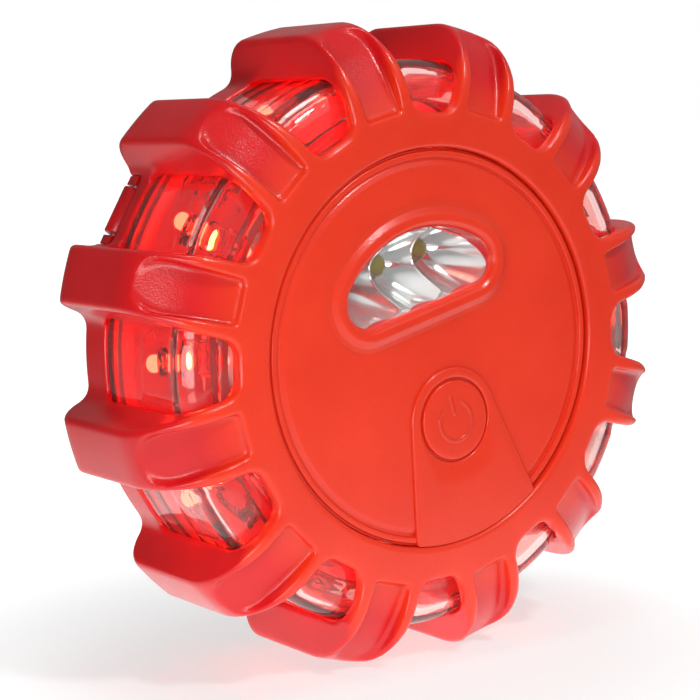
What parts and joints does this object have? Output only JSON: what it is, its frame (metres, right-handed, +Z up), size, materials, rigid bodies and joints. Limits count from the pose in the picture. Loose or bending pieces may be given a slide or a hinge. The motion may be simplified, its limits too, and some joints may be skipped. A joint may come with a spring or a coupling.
{
  "type": "led safety flare",
  "caption": "Round LED safety flare with a lobed soft boot, a clear ring lens, a face lamp with a push button, and a magnetic back with a folding hook.",
  "frame": {"origin": "middle of the object's footprint, on the floor under the two lobes it stands on", "axes": "+Z up, face with the lamp and the button towards -Y, back with magnets and hook towards +Y, +X to the right seen from the front"},
  "size_m": [0.109, 0.0348, 0.109],
  "materials": {
    "soft_boot": "satin moulded soft grip",
    "red_shell": "satin moulded shell",
    "clear_plastic": "clear moulded plastic",
    "mirror_chrome": "bright metallised plastic",
    "led_epoxy": "clear epoxy with yellow phosphor",
    "red_epoxy": "tinted epoxy",
    "board_white": "white solder mask",
    "black_parts": "moulded housings",
    "screw_steel": "plated steel",
    "seal_rubber": "soft seal",
    "cell_jacket": "printed metal jacket, plain",
    "spring_steel": "nickel plated",
    "magnet_nickel": "nickel plated magnet"
  },
  "bodies": {
    "housing": {"bumper_boot": "soft_boot", "front_panel": "red_shell", "button_surround": "soft_boot", "lamp_window": "clear_plastic", "lamp_reflector": "mirror_chrome", "white_leds": "led_epoxy", "ring_lens": "clear_plastic", "red_leds": "red_epoxy", "led_board": "board_white", "board_parts": "black_parts", "board_screws": "screw_steel", "switch_body": "black_parts", "front_seal": "seal_rubber", "rear_seal": "seal_rubber", "back_cover": "red_shell", "case_screws": "screw_steel", "battery_cell_1": "cell_jacket", "battery_cell_2": "cell_jacket", "battery_cell_3": "cell_jacket", "contact_plates": "spring_steel", "contact_springs": "spring_steel", "magnets": "magnet_nickel", "hook_pin": "screw_steel"},
    "button": {"power_button": "red_shell"},
    "plunger": {"switch_plunger": "black_parts"},
    "hook": {"hanging_hook": "red_shell"},
    "door": {"battery_door": "red_shell", "door_seal": "seal_rubber", "door_screws": "screw_steel"}
  },
  "joints": [
    {"name": "button_press", "type": "slide", "parent": "housing", "child": "button", "axis": [0, 1, 0], "range_m": [0, 0.0004], "stiffness_N_per_m": 1500},
    {"name": "plunger_press", "type": "slide", "parent": "housing", "child": "plunger", "axis": [0, 1, 0], "range_m": [0, 0.0004], "stiffness_N_per_m": 500},
    {"name": "hook_fold", "type": "hinge", "parent": "housing", "child": "hook", "pos_m": [-0.04088, 0.01515, 0.07809], "axis": [0.5, 0, 0.866], "range_deg": [0, 180]},
    {"name": "door_lift", "type": "slide", "parent": "housing", "child": "door", "axis": [0, 1, 0], "range_m": [0, 0.012]}
  ],
  "couplings": [
    {"joint": "plunger_press", "follows": "button_press", "ratio": 1}
  ]
}
